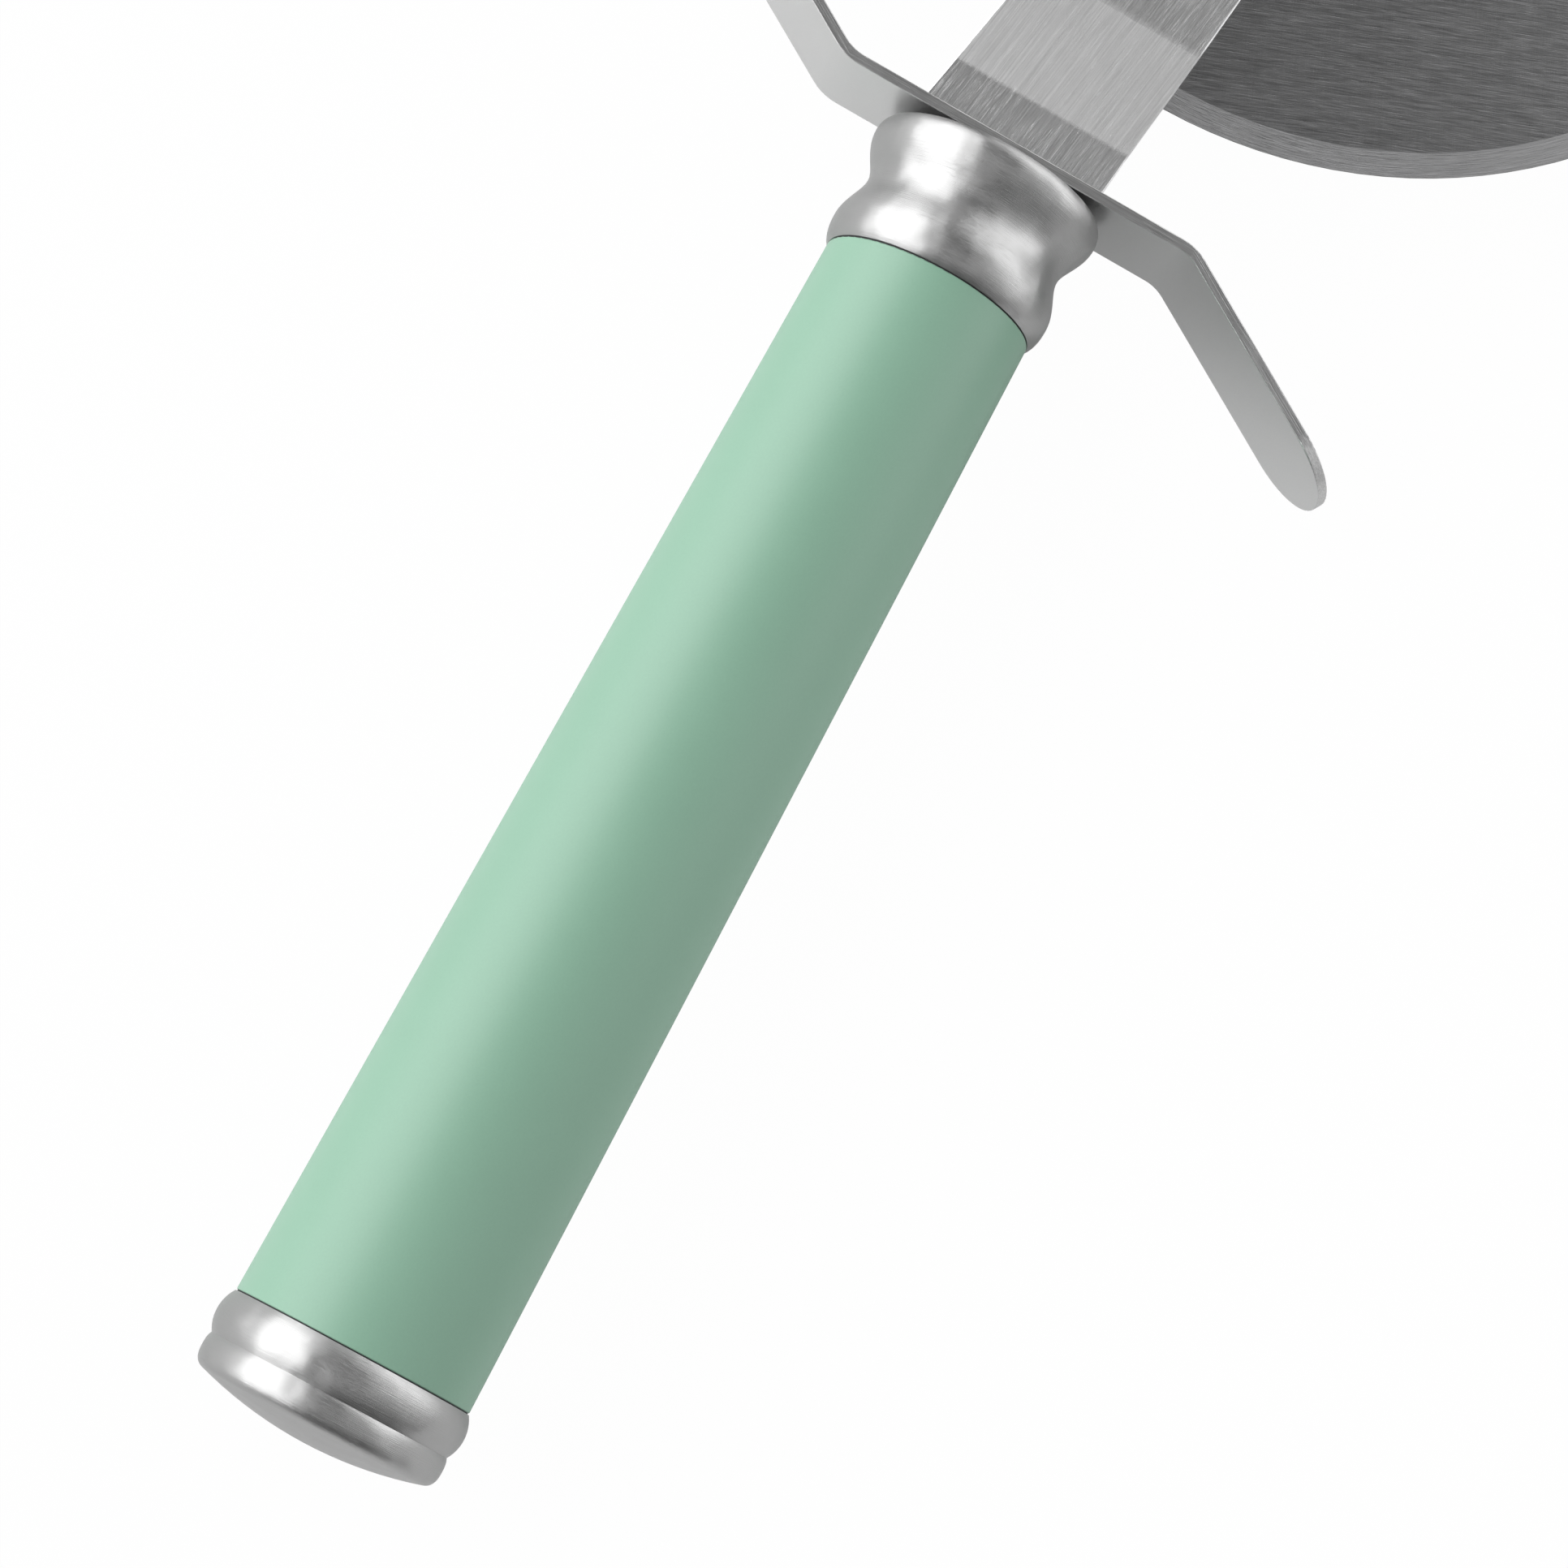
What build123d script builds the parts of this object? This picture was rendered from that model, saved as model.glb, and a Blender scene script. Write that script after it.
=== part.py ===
from build123d import *
import math
import os

# A pizza wheel: a bevelled disc on a cranked arm, a bent finger guard, and a turned, capped handle.
# Millimetres. X runs along the handle towards the disc, Z along the axle with the arm's side up.
# The origin is on the handle's axis, where the grip meets the bolster. The disc's middle is at Z = 0.

# Cutting disc, placed by its gap to the guard and by how far the axle lies aside of the handle
disc_diameter = 100.0
disc_thickness = 1.2
bevel_width = 2.2
edge_land = 0.2
disc_to_guard = 11.8
axle_aside = 9.5

# Hub and axle
axle_diameter = 6.0
axle_shoulder = 1.0
axle_head_overhang = 2.5
axle_head_rim = 0.6
axle_head_dome = 1.5
hub_sleeve_wall = 1.95
hub_flange_width = 3.0
hub_flange_thickness = 0.7
hub_flange_chamfer = 0.2
thrust_washer_width = 3.5
thrust_washer_thickness = 0.6
axle_nut_wall = 1.5
axle_nut_hex_height = 1.8
axle_nut_dome_height = 2.2
axle_nut_roof = 1.0

# Arm and tang
arm_thickness = 2.0
arm_base_width = 18.3
arm_eye_margin = 1.2
arm_edge_break = 0.15
crank_run = 10.9
crank_end_over_disc = 5.0
crank_radius = 3.0
tang_width = 9.0
tang_depth = 26.0
tail_length = 12.0
tail_inset = 0.3
tang_pin_diameter = 3.0
tang_pin_recess = 1.5
first_pin_depth = 8.0
last_pin_from_tang_end = 7.0

# Guard
guard_width = 12.4
guard_thickness = 1.0
guard_span = 35.0
guard_shift = 0.9
guard_wing_length = 25.0
guard_bend_angle = 31.0
guard_bend_radius = 4.5
guard_tip_flat = 0.1
guard_edge_round = 0.1

# Bolster: runs from the grip's front end onwards, and radii above or below the grip's neck
bolster_bead_run = 2.5
bolster_bead_rise = 0.73
bolster_waist_run = 4.25
bolster_waist_drop = 0.43
bolster_rim_run = 4.45
bolster_rim_rise = 1.1
bolster_edge_run = 1.2
bolster_edge_rise = 0.6
bolster_dish_depth = 1.0
bolster_seat_width = 0.75
insert_wall = 2.4

# Grip
grip_length = 105.3
grip_neck_diameter = 20.0
grip_butt_diameter = 22.3
grip_end_round = 0.12
sleeve_wall = 2.4
seal_thickness = 0.12
seal_recess = 0.12

# Tie rod and clamp, with the chamfers on the ends of rods and pins and on the corners of nuts
rod_diameter = 5.0
rod_pin_diameter = 2.0
clamp_washer_width = 4.0
clamp_washer_thickness = 1.2
spring_washer_width = 1.9
spring_washer_thickness = 1.3
spring_washer_slit = 1.2
clamp_nut_wall = 1.5
clamp_nut_height = 4.0
end_chamfer = 0.3
nut_chamfer_angle = 30.0

# End cap: runs from the grip's rear end onwards, and radii above or below the grip's butt
cap_front_rise = 0.04
cap_bead_run = 1.7
cap_bead_rise = 0.65
cap_crease_run = 2.3
cap_crease_rise = 0.1
cap_second_bead_angle = 27.0
cap_second_bead_run = 1.2
cap_second_bead_rise = 0.32
cap_shoulder_run = 1.75
cap_dome_inset = 0.62
cap_dome_height = 1.55
cap_spigot_length = 6.0
cap_bore_roof = 5.0

# Clearances, and how far a direction may stray and still count as level or upright
running_clearance = 0.05
end_play = 0.1
slip_clearance = 0.1
assembly_gap = 0.5
fork_room = 1.5
clamp_room = 4.8
direction_tolerance = 0.01

# Diameters that follow from the sizes above
axle_tail_diameter = axle_diameter - 2 * axle_shoulder
axle_head_diameter = axle_diameter + 2 * axle_head_overhang
arm_eye_diameter = axle_head_diameter + 2 * arm_eye_margin
hub_bore_diameter = axle_diameter + 2 * running_clearance
hub_sleeve_diameter = hub_bore_diameter + 2 * hub_sleeve_wall
hub_flange_diameter = hub_sleeve_diameter + 2 * hub_flange_width
thrust_washer_diameter = axle_diameter + 2 * thrust_washer_width
axle_nut_flats = axle_tail_diameter + 2 * axle_nut_wall
tail_width = rod_diameter - 2 * tail_inset
bolster_bore_diameter = tang_width + 2 * (slip_clearance + insert_wall)
clamp_washer_diameter = rod_diameter + 2 * clamp_washer_width
spring_washer_diameter = rod_diameter + 2 * spring_washer_width
clamp_nut_flats = rod_diameter + 2 * clamp_nut_wall

# Heights along the axle
disc_half = disc_thickness / 2
hub_half = disc_half + hub_flange_thickness
shoulder_height = hub_half + end_play
arm_underside = shoulder_height + thrust_washer_thickness
arm_top = arm_underside + arm_thickness
crank_rise = arm_underside + arm_thickness / 2
axle_nut_foot = -(arm_underside + axle_nut_hex_height + axle_nut_dome_height)
axle_tail_foot = axle_nut_foot + axle_nut_roof + assembly_gap

# Places along the handle
bolster_bead_at = bolster_bead_run
bolster_waist_at = bolster_bead_at + bolster_waist_run
bolster_rim_at = bolster_waist_at + bolster_rim_run
bolster_edge_at = bolster_rim_at + bolster_edge_run
bolster_front = bolster_edge_at + bolster_dish_depth
guard_front = bolster_front + guard_thickness
disc_rear = guard_front + disc_to_guard
axle_place = (disc_rear + disc_diameter / 2, -axle_aside)
tang_end = -tang_depth
tail_end = tang_end - tail_length
tang_pin_places = (-first_pin_depth, tang_end + last_pin_from_tang_end)
fork_front = tang_end - assembly_gap
fork_rear = tail_end - fork_room
rod_pin_at = (tang_end + tail_end) / 2
sleeve_front = -seal_thickness
grip_rear = -grip_length
sleeve_rear = grip_rear + seal_thickness
cap_spigot_front = grip_rear + cap_spigot_length
clamp_nut_rear = cap_spigot_front + clamp_room
clamp_nut_front = clamp_nut_rear + clamp_nut_height
spring_washer_front = clamp_nut_front + spring_washer_thickness
core_rear = spring_washer_front + clamp_washer_thickness
cap_bead_at = grip_rear - cap_bead_run
cap_crease_at = cap_bead_at - cap_crease_run
cap_second_bead_at = cap_crease_at - cap_second_bead_run
cap_dome_edge_at = cap_second_bead_at - cap_shoulder_run
cap_end = cap_dome_edge_at - cap_dome_height
cap_bore_end = cap_end + cap_bore_roof
rod_rear = cap_bore_end + assembly_gap


def grip_radius(x):
    """Outer radius of the tapered grip at a place along the handle."""
    share = x / grip_rear
    return (grip_neck_diameter + (grip_butt_diameter - grip_neck_diameter) * share) / 2


def sleeve_bore_radius(x):
    """Inner radius of the grip's sleeve, a constant wall under its outside."""
    return grip_radius(x) - sleeve_wall


def core_radius(x):
    """Outer radius of the core, a slip fit in the sleeve."""
    return sleeve_bore_radius(x) - slip_clearance


def spigot_radius():
    """Outer radius of the cap's spigot, a slip fit in the sleeve where the sleeve is narrowest."""
    return sleeve_bore_radius(cap_spigot_front) - slip_clearance


def turned(outline):
    """Solid of revolution about the handle's axis, from edges closed by that axis."""
    return revolve(make_face(outline), axis=Axis.X)


def cone_along_handle(front, rear, radius_at):
    """Straight taper about the handle's axis, with its radius given at both ends."""
    outline = Polyline(
        (front, 0), (front, radius_at(front)), (rear, radius_at(rear)), (rear, 0), close=True
    )
    return turned(outline)


def rod_along_handle(radius, front, rear):
    """Round bar on the handle's axis."""
    return cone_along_handle(front, rear, lambda place: radius)


def ring_along_handle(outer_radius, inner_radius, front, rear):
    """Plain ring about the handle's axis."""
    return rod_along_handle(outer_radius, front, rear) - rod_along_handle(inner_radius, front, rear)


def block_along_handle(front, rear, width, height):
    """Rectangular bar on the handle's axis, as wide along Y and as high along Z as given."""
    return Pos((front + rear) / 2, 0, 0) * Box(front - rear, width, height)


def disc_on_axle(diameter, low, high):
    """Plain round disc on the axle, between two heights."""
    centre = Align.CENTER
    return Pos(*axle_place, low) * Cylinder(diameter / 2, high - low, align=(centre, centre, Align.MIN))


def dome_radius(half_width, height):
    """Radius of the sphere under a dome of the given half width and height."""
    return (half_width ** 2 + height ** 2) / (2 * height)


def dome_on_axle(diameter, foot, height):
    """Round dome on the axle that swells from its foot, upwards or downwards by the height's sign."""
    edge = (diameter / 2, foot)
    top = (0, foot + height)
    bulge = RadiusArc(edge, top, -math.copysign(dome_radius(diameter / 2, abs(height)), height))
    closing = Polyline(top, (0, foot), edge)
    return Pos(*axle_place, 0) * revolve(Plane.XZ * make_face([bulge, closing]), axis=Axis.Z)


def hexagon_nut(flats, height):
    """Hexagon prism that stands on the ground plane, with its corners turned off at both ends."""
    corner_radius = flats / math.sqrt(3)
    cut = (corner_radius - flats / 2) * math.tan(math.radians(nut_chamfer_angle))
    outline = Polyline(
        (0, 0),
        (flats / 2, 0),
        (corner_radius, cut),
        (corner_radius, height - cut),
        (flats / 2, height),
        (0, height),
        close=True,
    )
    prism = extrude(RegularPolygon(corner_radius, 6), height)
    return prism & revolve(Plane.XZ * make_face(outline), axis=Axis.Z)


def pin_through_tang(x, diameter, length):
    """Upright pin through the tang's mid-plane."""
    return Pos(x, 0, 0) * Cylinder(diameter / 2, length)


def tang_passage(front, rear):
    """Room for the tang, with a slip clearance all round."""
    width = tang_width + 2 * slip_clearance
    height = arm_thickness + 2 * slip_clearance
    return block_along_handle(front, rear, width, height)


def bent_strip(corners, thickness, bend_radius):
    """Side view of a bent strip: an even thickness about a line with rounded corners."""
    middle = FilletPolyline(*corners, radius=bend_radius)
    left = offset(middle, thickness / 2, side=Side.LEFT, closed=False)
    right = offset(middle, thickness / 2, side=Side.RIGHT, closed=False)
    ends = [Line(left @ 1, right @ 0), Line(right @ 1, left @ 0)]
    return make_face(left.edges() + right.edges() + ends)


def blade_disc():
    """The cutting disc: flat faces, a ground bevel on both sides and a hole for the hub."""
    radius = disc_diameter / 2
    land = edge_land / 2
    outline = Polyline(
        (0, -disc_half),
        (radius - bevel_width, -disc_half),
        (radius, -land),
        (radius, land),
        (radius - bevel_width, disc_half),
        (0, disc_half),
        close=True,
    )
    disc = Pos(*axle_place, 0) * revolve(Plane.XZ * make_face(outline), axis=Axis.Z)
    return disc - disc_on_axle(hub_sleeve_diameter, -disc_half, disc_half)


def hub_bush():
    """Flanged bush through the disc, bored to run on the axle."""
    flange = disc_on_axle(hub_flange_diameter, disc_half, hub_half)
    flange = chamfer(flange.edges().group_by(Axis.Z)[-1], hub_flange_chamfer)
    sleeve = disc_on_axle(hub_sleeve_diameter, -hub_half, disc_half)
    return flange + sleeve - disc_on_axle(hub_bore_diameter, -hub_half, hub_half)


def hub_collar():
    """Collar pressed on the bush's sleeve under the disc."""
    collar = disc_on_axle(hub_flange_diameter, -hub_half, -disc_half)
    collar = chamfer(collar.edges().group_by(Axis.Z)[0], hub_flange_chamfer)
    return collar - disc_on_axle(hub_sleeve_diameter, -hub_half, -disc_half)


def thrust_washer(low, pin_diameter):
    """Thrust washer on the axle, resting at the given height."""
    high = low + thrust_washer_thickness
    washer = disc_on_axle(thrust_washer_diameter, low, high)
    return washer - disc_on_axle(pin_diameter + 2 * running_clearance, low, high)


def axle_pin():
    """Shouldered pin: a domed head on the arm, a running shank and a thinner tail for the nut."""
    rim = arm_top + axle_head_rim
    head = disc_on_axle(axle_head_diameter, arm_top, rim)
    dome = dome_on_axle(axle_head_diameter, rim, axle_head_dome)
    shank = disc_on_axle(axle_diameter, -shoulder_height, arm_top)
    tail = disc_on_axle(axle_tail_diameter, axle_tail_foot, -shoulder_height)
    tail = chamfer(tail.edges().group_by(Axis.Z)[0], end_chamfer)
    return head + dome + shank + tail


def axle_nut():
    """Domed nut under the lower washer, with a blind hole for the axle's tail."""
    seat = -arm_underside
    dome_foot = seat - axle_nut_hex_height
    nut = Pos(*axle_place, dome_foot) * hexagon_nut(axle_nut_flats, axle_nut_hex_height)
    nut += dome_on_axle(axle_nut_flats - 2 * slip_clearance, dome_foot, -axle_nut_dome_height)
    return nut - disc_on_axle(axle_tail_diameter, axle_nut_foot + axle_nut_roof, seat)


def tangent_to_eye(corner, side):
    """Point where an arm edge from a base corner touches the eye, on the +Y side for side 1."""
    eye_radius = arm_eye_diameter / 2
    along = axle_place[0] - corner[0]
    across = axle_place[1] - corner[1]
    reach = math.hypot(along, across)
    edge_angle = math.atan2(across, along) + side * math.asin(eye_radius / reach)
    normal = edge_angle + side * math.pi / 2
    return (axle_place[0] + eye_radius * math.cos(normal), axle_place[1] + eye_radius * math.sin(normal))


def is_level(direction):
    """Whether a direction is square to the axle."""
    return abs(direction.Z) < direction_tolerance


def is_upright(direction):
    """Whether a direction runs along the axle."""
    return abs(direction.Z) > 1 - direction_tolerance


def side_edges(bar):
    """Edges where the arm's upright sides meet its faces, apart from those at its shoulders."""
    sides = [face for face in bar.faces() if is_level(face.normal_at())]
    sides = [face for face in sides if face.center().X > guard_front + arm_thickness]
    edges = ShapeList(edge for face in sides for edge in face.edges())
    return edges.filter_by(lambda edge: not is_upright(edge.tangent_at()))


def blade_arm():
    """The bar ahead of the guard: cranked up over the disc, tapered to a round eye on the axle."""
    half = arm_base_width / 2
    left = (guard_front, half)
    right = (guard_front, -half)
    plan = make_face(Polyline(left, tangent_to_eye(left, 1), tangent_to_eye(right, -1), right, close=True))
    plan += Pos(*axle_place) * Circle(arm_eye_diameter / 2)
    crank_end = disc_rear + crank_end_over_disc
    crank_start = crank_end - crank_run
    front = axle_place[0] + arm_eye_diameter
    corners = [(guard_front, 0), (crank_start, 0), (crank_end, crank_rise), (front, crank_rise)]
    side_view = Plane.XZ * bent_strip(corners, arm_thickness, crank_radius)
    bar = extrude(side_view, disc_diameter / 2, both=True) & extrude(plan, arm_top, both=True)
    bar = chamfer(side_edges(bar), arm_edge_break)
    return bar - disc_on_axle(axle_diameter, arm_underside, arm_top)


def arm():
    """Flat bar: the arm with its shoulders on the guard, and a pinned tang and tail in the handle."""
    tang = block_along_handle(guard_front, tang_end, tang_width, arm_thickness)
    tail = block_along_handle(tang_end, tail_end, tail_width, arm_thickness)
    bar = blade_arm() + tang + tail
    for place in tang_pin_places:
        bar -= pin_through_tang(place, tang_pin_diameter, arm_thickness)
    return bar - pin_through_tang(rod_pin_at, rod_pin_diameter, arm_thickness)


def guard_edges(strip):
    """Edges all round the guard, where its broad faces meet its narrow sides."""
    level = strip.faces().filter_by(lambda face: is_level(face.normal_at()))
    broad = level.filter_by(lambda face: face.bounding_box().size.Z > guard_width / 2)
    narrow = ShapeList(face for face in strip.faces() if face not in broad)
    return broad.edges().filter_by(lambda edge: edge in narrow.edges())


def guard():
    """Bent strip: a straight middle square to the handle and two wings with half-round tips."""
    turn = math.radians(guard_bend_angle)
    middle = bolster_front + guard_thickness / 2
    left = (middle, guard_span / 2 - guard_shift)
    right = (middle, -guard_span / 2 - guard_shift)
    ahead = guard_wing_length * math.sin(turn)
    aside = guard_wing_length * math.cos(turn)
    left_tip = (left[0] + ahead, left[1] + aside)
    right_tip = (right[0] - ahead, right[1] - aside)
    plan = bent_strip([left_tip, left, right, right_tip], guard_thickness, guard_bend_radius)
    strip = extrude(plan, guard_width / 2, both=True)
    across = strip.faces().sort_by(Axis.Y)
    tip_edges = across[0].edges() + across[-1].edges()
    corners = tip_edges.filter_by(lambda edge: is_level(edge.tangent_at()))
    strip = fillet(corners, (guard_width - guard_tip_flat) / 2)
    strip = fillet(guard_edges(strip), guard_edge_round)
    return strip - tang_passage(guard_front, bolster_front)


def bolster():
    """Turned spool: a bead by the grip, a waist, a rim and a raised seat for the guard, bored through."""
    neck = grip_radius(0)
    bore_radius = bolster_bore_diameter / 2
    rear_corner = (0, neck)
    rim_edge = (bolster_edge_at, neck + bolster_edge_rise)
    seat_edge = (bolster_front, bore_radius + bolster_seat_width)
    rise = (1, 1)
    level = (1, 0)
    fall = (1, -1)
    curve = Spline(
        rear_corner,
        (bolster_bead_at, neck + bolster_bead_rise),
        (bolster_waist_at, neck - bolster_waist_drop),
        (bolster_rim_at, neck + bolster_rim_rise),
        rim_edge,
        tangents=(rise, level, level, level, fall),
    )
    closing = Polyline(rim_edge, seat_edge, (bolster_front, 0), (0, 0), rear_corner)
    return turned([curve, closing]) - rod_along_handle(bore_radius, bolster_front, 0)


def bolster_insert():
    """Moulded insert in the bolster's bore, slotted for the tang."""
    insert = rod_along_handle(bolster_bore_diameter / 2, bolster_front, 0)
    return insert - tang_passage(bolster_front, 0)


def handle_sleeve():
    """Tapered grip with a constant wall and softened end corners."""
    outer = cone_along_handle(sleeve_front, sleeve_rear, grip_radius)
    ends = outer.edges().filter_by(GeomType.CIRCLE)
    return fillet(ends, grip_end_round) - cone_along_handle(sleeve_front, sleeve_rear, sleeve_bore_radius)


def front_seal():
    """Thin ring between the bolster and the grip."""
    return ring_along_handle(grip_radius(0) - seal_recess, sleeve_bore_radius(0), 0, sleeve_front)


def rear_seal():
    """Thin ring between the grip and the end cap."""
    outer_radius = grip_radius(grip_rear) - seal_recess
    return ring_along_handle(outer_radius, spigot_radius(), sleeve_rear, grip_rear)


def core_half(keep):
    """One half of the core that fills the sleeve, with room for the tang, the rod and the pins."""
    core = cone_along_handle(0, core_rear, core_radius)
    core -= tang_passage(0, fork_front)
    core -= rod_along_handle(rod_diameter / 2 + slip_clearance, fork_front, core_rear)
    for place in tang_pin_places:
        core -= pin_through_tang(place, tang_pin_diameter, grip_butt_diameter)
    return split(core, bisect_by=Plane.XY, keep=keep)


def tang_pins():
    """The pins that lock the tang between the core halves, ended short of the core's outside."""
    length = 2 * (core_radius(0) - tang_pin_recess)
    pins = [pin_through_tang(place, tang_pin_diameter, length) for place in tang_pin_places]
    return Compound([chamfer(pin.edges().filter_by(GeomType.CIRCLE), end_chamfer) for pin in pins])


def tie_rod():
    """Rod from the tang's tail to the end cap, forked over the tail."""
    rod = rod_along_handle(rod_diameter / 2, fork_front, rod_rear)
    rod = chamfer(rod.edges().filter_by(GeomType.CIRCLE), end_chamfer)
    slot = block_along_handle(fork_front, fork_rear, rod_diameter, arm_thickness)
    return rod - slot - pin_through_tang(rod_pin_at, rod_pin_diameter, rod_diameter)


def rod_pin():
    """Cross pin through the fork and the tail, ended inside the rod's round."""
    rod_section = rod_along_handle(rod_diameter / 2, fork_front, fork_rear)
    return pin_through_tang(rod_pin_at, rod_pin_diameter, rod_diameter) & rod_section


def clamp_washer():
    """Plain washer behind the core."""
    bore_radius = rod_diameter / 2 + slip_clearance
    return ring_along_handle(clamp_washer_diameter / 2, bore_radius, core_rear, spring_washer_front)


def spring_washer():
    """Split spring washer behind the plain one, drawn flat."""
    bore_radius = rod_diameter / 2 + slip_clearance
    reach = spring_washer_diameter / 2
    ring = ring_along_handle(reach, bore_radius, spring_washer_front, clamp_nut_front)
    slit = block_along_handle(spring_washer_front, clamp_nut_front, spring_washer_slit, reach)
    return ring - Pos(0, 0, reach / 2) * slit


def clamp_nut():
    """Hexagon nut that draws the core and the tang together."""
    nut = Plane.YZ.offset(clamp_nut_rear) * hexagon_nut(clamp_nut_flats, clamp_nut_height)
    return nut - rod_along_handle(rod_diameter / 2, clamp_nut_front, clamp_nut_rear)


def end_cap():
    """Turned cap: two beads with a crease between, a shallow dome, a spigot and a blind hole for the rod."""
    butt = grip_radius(grip_rear)
    front_edge = (grip_rear, butt + cap_front_rise)
    bead_top = (cap_bead_at, butt + cap_bead_rise)
    crease = (cap_crease_at, butt + cap_crease_rise)
    second_bead_top = (cap_second_bead_at, butt + cap_second_bead_rise)
    dome_half_width = butt - cap_dome_inset
    sphere = dome_radius(dome_half_width, cap_dome_height)
    dome_edge = (cap_dome_edge_at, dome_half_width)
    dome_top = (cap_end, 0)
    rise = (-1, math.tan(math.radians(cap_second_bead_angle)))
    level = (-1, 0)
    inward = (-dome_half_width, cap_dome_height - sphere)
    bead = ThreePointArc(front_edge, bead_top, crease)
    second_bead = Spline(crease, second_bead_top, dome_edge, tangents=(rise, level, inward))
    dome = RadiusArc(dome_edge, dome_top, -sphere)
    closing = Polyline(dome_top, (grip_rear, 0), front_edge)
    spigot = rod_along_handle(spigot_radius(), cap_spigot_front, grip_rear)
    spigot = chamfer(spigot.edges().sort_by(Axis.X)[-1], end_chamfer)
    cap = turned([bead, second_bead, dome, closing]) + spigot
    return cap - rod_along_handle(rod_diameter / 2, cap_spigot_front, cap_bore_end)


nodes = {
    "blade_disc": blade_disc(),
    "hub_bush": hub_bush(),
    "hub_collar": hub_collar(),
    "upper_washer": thrust_washer(shoulder_height, axle_diameter),
    "lower_washer": thrust_washer(-arm_underside, axle_tail_diameter),
    "axle_pin": axle_pin(),
    "axle_nut": axle_nut(),
    "arm": arm(),
    "guard": guard(),
    "bolster": bolster(),
    "bolster_insert": bolster_insert(),
    "front_seal": front_seal(),
    "handle_sleeve": handle_sleeve(),
    "rear_seal": rear_seal(),
    "core_upper": core_half(Keep.TOP),
    "core_lower": core_half(Keep.BOTTOM),
    "tang_pins": tang_pins(),
    "tie_rod": tie_rod(),
    "rod_pin": rod_pin(),
    "clamp_washer": clamp_washer(),
    "spring_washer": spring_washer(),
    "clamp_nut": clamp_nut(),
    "end_cap": end_cap(),
}

os.makedirs("parts", exist_ok=True)
for name, solid in nodes.items():
    solid.label = name
    export_step(solid, f"parts/{name}.step")
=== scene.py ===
# Finishes for the pieces of a pizza wheel, and a plain studio stage to show it on.

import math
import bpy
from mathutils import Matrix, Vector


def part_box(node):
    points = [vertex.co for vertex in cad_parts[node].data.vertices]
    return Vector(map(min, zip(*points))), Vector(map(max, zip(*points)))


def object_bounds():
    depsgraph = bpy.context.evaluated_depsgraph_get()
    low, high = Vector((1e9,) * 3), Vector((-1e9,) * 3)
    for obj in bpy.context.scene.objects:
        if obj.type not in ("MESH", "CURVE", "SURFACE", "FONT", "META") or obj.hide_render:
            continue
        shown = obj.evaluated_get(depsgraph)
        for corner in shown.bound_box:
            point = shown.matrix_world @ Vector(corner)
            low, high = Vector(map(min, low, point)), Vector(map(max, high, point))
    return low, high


bl_info = {
    "name": "Pizza Wheel Finishes",
    "version": (1, 0, 0),
    "blender": (4, 5, 0),
    "location": "3D View > Sidebar > Pizza Wheel",
    "description": "Gives each piece of a pizza wheel its finish and sets up a studio stage",
    "category": "Object",
}

from typing import NamedTuple

import bpy
from bpy.props import FloatProperty, FloatVectorProperty, PointerProperty
from bpy.types import Operator, Panel, PropertyGroup
from mathutils import Matrix, Quaternion, Vector

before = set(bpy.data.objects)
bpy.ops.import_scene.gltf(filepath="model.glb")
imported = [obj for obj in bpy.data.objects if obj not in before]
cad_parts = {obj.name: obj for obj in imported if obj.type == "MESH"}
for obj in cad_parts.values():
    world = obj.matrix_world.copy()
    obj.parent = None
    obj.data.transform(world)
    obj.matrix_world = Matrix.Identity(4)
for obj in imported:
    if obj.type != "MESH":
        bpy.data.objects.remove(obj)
CAD_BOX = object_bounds()
MM = 0.001

# Places that the finishes follow, read from the frame
DISC_LOW, DISC_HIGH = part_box("blade_disc")
AXLE = (DISC_LOW + DISC_HIGH) / 2
DISC_RADIUS = (DISC_HIGH.x - DISC_LOW.x) / 2
BOLSTER_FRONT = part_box("bolster")[1].x
ARM_LOW, ARM_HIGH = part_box("arm")

# The tang lies midway about the handle's axis, so the arm's lowest face is half its thickness down
CRANK_RISE = ARM_HIGH.z + ARM_LOW.z

# What all metals share, and plain white
METAL = {"Metallic": 1.0}
WHITE = (1.0, 1.0, 1.0)

# Noise: its middle, how finely it is broken up, and the range in which it turns into flecks
NOISE_MIDDLE = 0.5
SMOOTH = 1.0
BROKEN = 2.0
CLOUDED = 3.0
FLECK_START = 0.6
FLECK_FULL = 0.75

# How far a surface of the guard faces away from its broad faces, where it turns into an edge
EDGE_START = 0.45
EDGE_FULL = 0.75

# Share of the radius of the dome's flat middle that is wholly flat
WHOLLY_FLAT = 0.9

# Sockets of a Mix node on vectors: its factor, its two inputs and its result
MIX_FACTOR = 0
MIX_FIRST = 4
MIX_SECOND = 5
MIX_RESULT = 1


def colour_setting(name, description, default):
    """A colour, in linear light."""
    return FloatVectorProperty(
        name=name, description=description, default=default, subtype="COLOR", size=3, min=0.0, max=1.0
    )


def share_setting(name, description, default):
    """A share from 0 to 1."""
    return FloatProperty(
        name=name, description=description, default=default, subtype="FACTOR", min=0.0, max=1.0
    )


def tint_setting(marks, default):
    """How much the brightness of the colour changes over marks in the surface."""
    return share_setting(f"{marks} tint", f"Change of the colour over the {marks.lower()}", default)


def matt_setting(marks, default):
    """How much the roughness changes over marks in the surface."""
    return share_setting(f"{marks} matt", f"Change of the roughness over the {marks.lower()}", default)


def length_setting(name, description, default):
    """A length."""
    return FloatProperty(
        name=name, description=description, default=default, subtype="DISTANCE", unit="LENGTH",
        min=0.0, precision=5,
    )


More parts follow.
